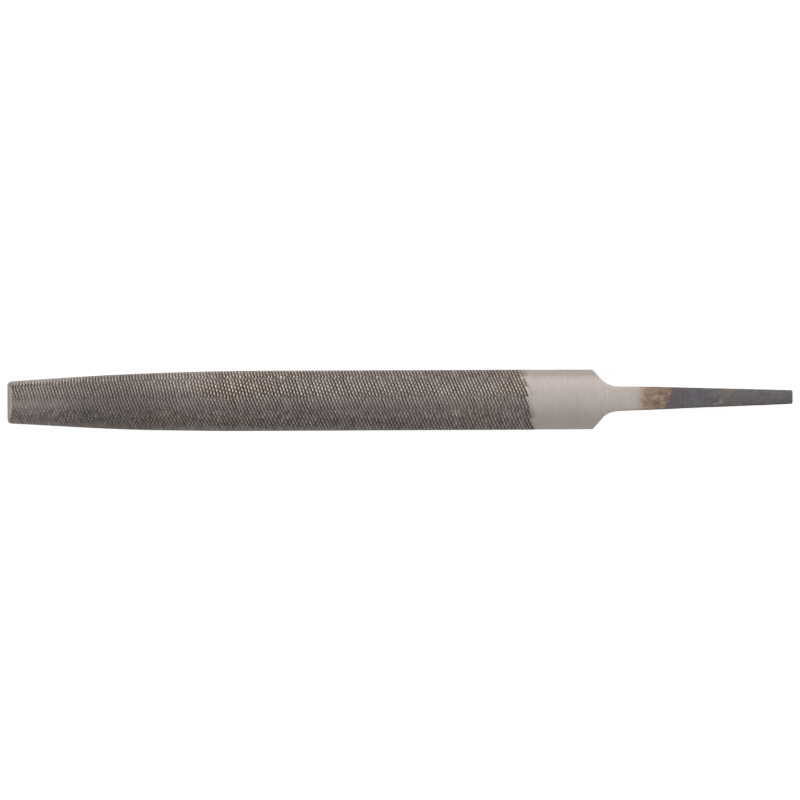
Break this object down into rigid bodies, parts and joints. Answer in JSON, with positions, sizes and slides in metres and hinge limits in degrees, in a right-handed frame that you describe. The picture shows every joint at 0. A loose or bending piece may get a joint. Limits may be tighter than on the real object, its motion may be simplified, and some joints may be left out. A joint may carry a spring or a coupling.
{
  "type": "half-round file",
  "caption": "Half-round hand file with a tapered blade, double-cut faces, a plain heel and a bare tapered tang for a push-on handle.",
  "frame": {"origin": "centre of the bottom of the bounding box: midway between tip and tang end, midway across the blade, on the plane of the flat face", "axes": "+X runs along the file from the tip to the end of the tang, +Y across it, +Z out of the round face, with the flat face on Z = 0"},
  "size_m": [0.2012, 0.0154, 0.0045],
  "materials": {
    "file_steel": "hardened tool steel: dull cut teeth, plain ground heel, straw and blue-grey temper colours on the tang"
  },
  "bodies": {
    "root": {"file_body": "file_steel"}
  },
  "joints": []
}
